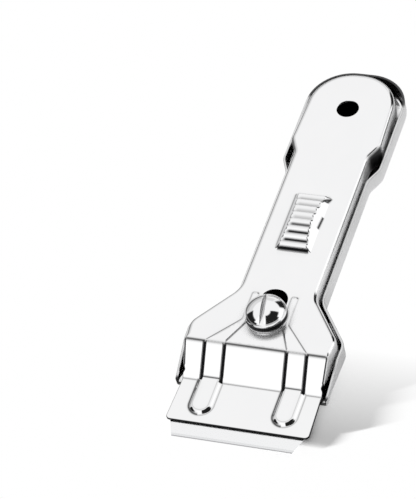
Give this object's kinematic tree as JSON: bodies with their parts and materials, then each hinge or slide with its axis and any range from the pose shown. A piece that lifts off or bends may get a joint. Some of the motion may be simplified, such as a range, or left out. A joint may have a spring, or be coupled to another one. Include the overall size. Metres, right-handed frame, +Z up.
{
  "type": "razor blade scraper",
  "caption": "Hand scraper of pressed chromed sheet steel with a razor blade, a sliding cover that sheathes the blade, a slotted clamp screw, a ribbed thumb grip and a hanging hole.",
  "frame": {"origin": "under the middle of the tool's length with the blade out, on the flat underside of the base", "axes": "+Y along the handle from the cutting edge towards the hanging hole, +X to the right when looking along +Y, +Z up through the cover's face"},
  "size_m": [0.0468, 0.1404, 0.016],
  "materials": {
    "cover_chrome": "bright chromed sheet steel",
    "base_chrome": "bright chromed sheet steel",
    "screw_chrome": "polished",
    "blade_steel": "ground",
    "turned_steel": "turned"
  },
  "bodies": {
    "base": {"base_shell": "base_chrome", "razor_blade": "blade_steel", "threaded_bush": "turned_steel", "blade_pegs": "turned_steel"},
    "cover": {"sliding_cover": "cover_chrome"},
    "screw": {"clamp_screw": "screw_chrome"}
  },
  "joints": [
    {"name": "cover_slide", "type": "slide", "parent": "base", "child": "cover", "axis": [0, -1, 0], "range_m": [0, 0.0056]},
    {"name": "screw_turn", "type": "hinge", "parent": "base", "child": "screw", "pos_m": [0, -0.03105, 0.0099], "axis": [0, 0, 1], "range_deg": [0, 360]}
  ]
}
